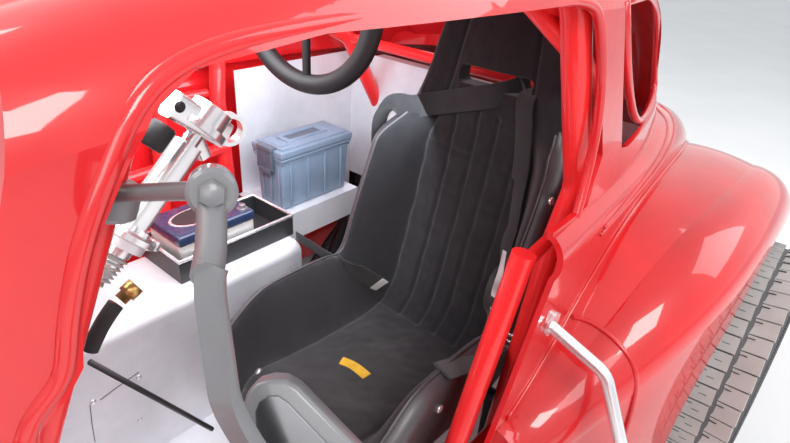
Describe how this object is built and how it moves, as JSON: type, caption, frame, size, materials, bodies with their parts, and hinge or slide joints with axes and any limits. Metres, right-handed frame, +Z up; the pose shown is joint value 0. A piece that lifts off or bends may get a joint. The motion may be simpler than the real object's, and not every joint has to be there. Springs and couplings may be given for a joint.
{
  "type": "racing coupe",
  "caption": "Small rounded racing coupe with an open driver door, roll cage, bucket seat, separate fenders, tubular bumpers and treaded tyres.",
  "frame": {"origin": "middle of the whole box in plan, on the ground", "axes": "+X forwards along the car, +Y to its left, +Z up"},
  "size_m": [3.162, 1.7996, 1.168],
  "materials": {
    "body_red": "gloss",
    "frame_red": "gloss",
    "frame_black": "satin",
    "sheet_silver": "satin",
    "tray_black": "satin",
    "battery_blue": "gloss",
    "case_grey": "matte",
    "glass": "clear",
    "bright_steel": "brushed",
    "dark_steel": "satin",
    "cast": "cast",
    "alloy": "satin",
    "lamp_chrome": "polished",
    "lamp_red": "gloss",
    "mirror_black": "matte",
    "grip_black": "matte",
    "seat_black": "satin",
    "cover_black": "woven",
    "wheel_steel": "satin",
    "tyre_rubber": "matte"
  },
  "bodies": {
    "car": {"body_shell": "body_red", "fender_front_left": "body_red", "fender_front_right": "body_red", "fender_rear_left": "body_red", "fender_rear_right": "body_red", "roll_cage": "frame_red", "jamb_posts": "frame_red", "chassis_frame": "frame_black", "front_arms": "frame_black", "rear_axle": "frame_black", "pedals": "frame_black", "floor_pan": "sheet_silver", "center_tunnel": "sheet_silver", "inner_panels": "sheet_silver", "dash_panel": "sheet_silver", "battery_tray": "tray_black", "battery": "battery_blue", "storage_box": "case_grey", "windscreen": "glass", "bumper_front": "bright_steel", "bumper_rear": "bright_steel", "side_bar_left": "bright_steel", "side_bar_right": "bright_steel", "exhaust": "bright_steel", "engine": "cast", "fuel_cell": "alloy", "headlamps": "lamp_chrome", "tail_lamps": "lamp_red", "side_mirror": "mirror_black", "steering_wheel": "grip_black", "seat_shell": "seat_black", "seat_cover": "cover_black"},
    "wheel_front_left": {"tyre_front_left": "tyre_rubber", "rim_front_left": "wheel_steel"},
    "wheel_front_right": {"tyre_front_right": "tyre_rubber", "rim_front_right": "wheel_steel"},
    "wheel_rear_left": {"tyre_rear_left": "tyre_rubber", "rim_rear_left": "wheel_steel"},
    "wheel_rear_right": {"tyre_rear_right": "tyre_rubber", "rim_rear_right": "wheel_steel"},
    "knuckle_left": {"knuckle_left": "dark_steel"},
    "knuckle_right": {"knuckle_right": "dark_steel"},
    "rack": {"steering_rack": "dark_steel"},
    "column": {"steering_shaft": "bright_steel"},
    "link": {"link_shaft": "dark_steel"},
    "door_left": {"door_left": "body_red"},
    "door_right": {"door_right": "body_red"},
    "engine_cover": {"hood": "body_red", "grille": "bright_steel"},
    "deck_lid": {"deck_lid": "body_red"}
  },
  "joints": [
    {"name": "spin_front_left", "type": "hinge", "parent": "knuckle_left", "child": "wheel_front_left", "pos_m": [1.052, 0.52668, 0.288], "axis": [0, 1, 0], "continuous": true},
    {"name": "spin_front_right", "type": "hinge", "parent": "knuckle_right", "child": "wheel_front_right", "pos_m": [1.052, -0.79732, 0.288], "axis": [0, 1, 0], "continuous": true},
    {"name": "spin_rear_left", "type": "hinge", "parent": "car", "child": "wheel_rear_left", "pos_m": [-0.802, 0.52668, 0.288], "axis": [0, 1, 0], "continuous": true},
    {"name": "spin_rear_right", "type": "hinge", "parent": "car", "child": "wheel_rear_right", "pos_m": [-0.802, -0.79732, 0.288], "axis": [0, 1, 0], "continuous": true},
    {"name": "steer_left", "type": "hinge", "parent": "car", "child": "knuckle_left", "pos_m": [1.052, 0.45469, 0.288], "axis": [0, 0, 1], "range_deg": [-28, 28]},
    {"name": "steer_right", "type": "hinge", "parent": "car", "child": "knuckle_right", "pos_m": [1.052, -0.72532, 0.288], "axis": [0, 0, 1], "range_deg": [-28, 28]},
    {"name": "rack_slide", "type": "slide", "parent": "car", "child": "rack", "axis": [0, 1, 0], "range_m": [-0.0466, 0.0466]},
    {"name": "column_turn", "type": "hinge", "parent": "car", "child": "column", "pos_m": [0.223, 0.04269, 0.799], "axis": [-0.724, 0, 0.6898], "range_deg": [-226, 226]},
    {"name": "link_turn", "type": "hinge", "parent": "car", "child": "link", "pos_m": [0.23748, 0.04269, 0.7852], "axis": [0.8686, 0, -0.4954], "range_deg": [-226, 226]},
    {"name": "door_left_swing", "type": "hinge", "parent": "car", "child": "door_left", "pos_m": [0.428, 0.32268, 0.53], "axis": [0, 0, 1], "range_deg": [0, 72]},
    {"name": "door_right_swing", "type": "hinge", "parent": "car", "child": "door_right", "pos_m": [0.428, -0.59332, 0.53], "axis": [0, 0, 1], "range_deg": [0, 70]},
    {"name": "engine_cover_tilt", "type": "hinge", "parent": "car", "child": "engine_cover", "pos_m": [1.313, -0.13531, 0.252], "axis": [0, 1, 0], "range_deg": [0, 45]},
    {"name": "deck_lid_tilt", "type": "hinge", "parent": "car", "child": "deck_lid", "pos_m": [-0.88, -0.13531, 0.822], "axis": [0, 1, 0], "range_deg": [0, 60]}
  ],
  "couplings": [
    {"joint": "steer_right", "follows": "steer_left", "ratio": 1},
    {"joint": "rack_slide", "follows": "steer_left", "m_per_rad": 0.095},
    {"joint": "column_turn", "follows": "steer_left", "ratio": 8},
    {"joint": "link_turn", "follows": "steer_left", "ratio": -8}
  ]
}
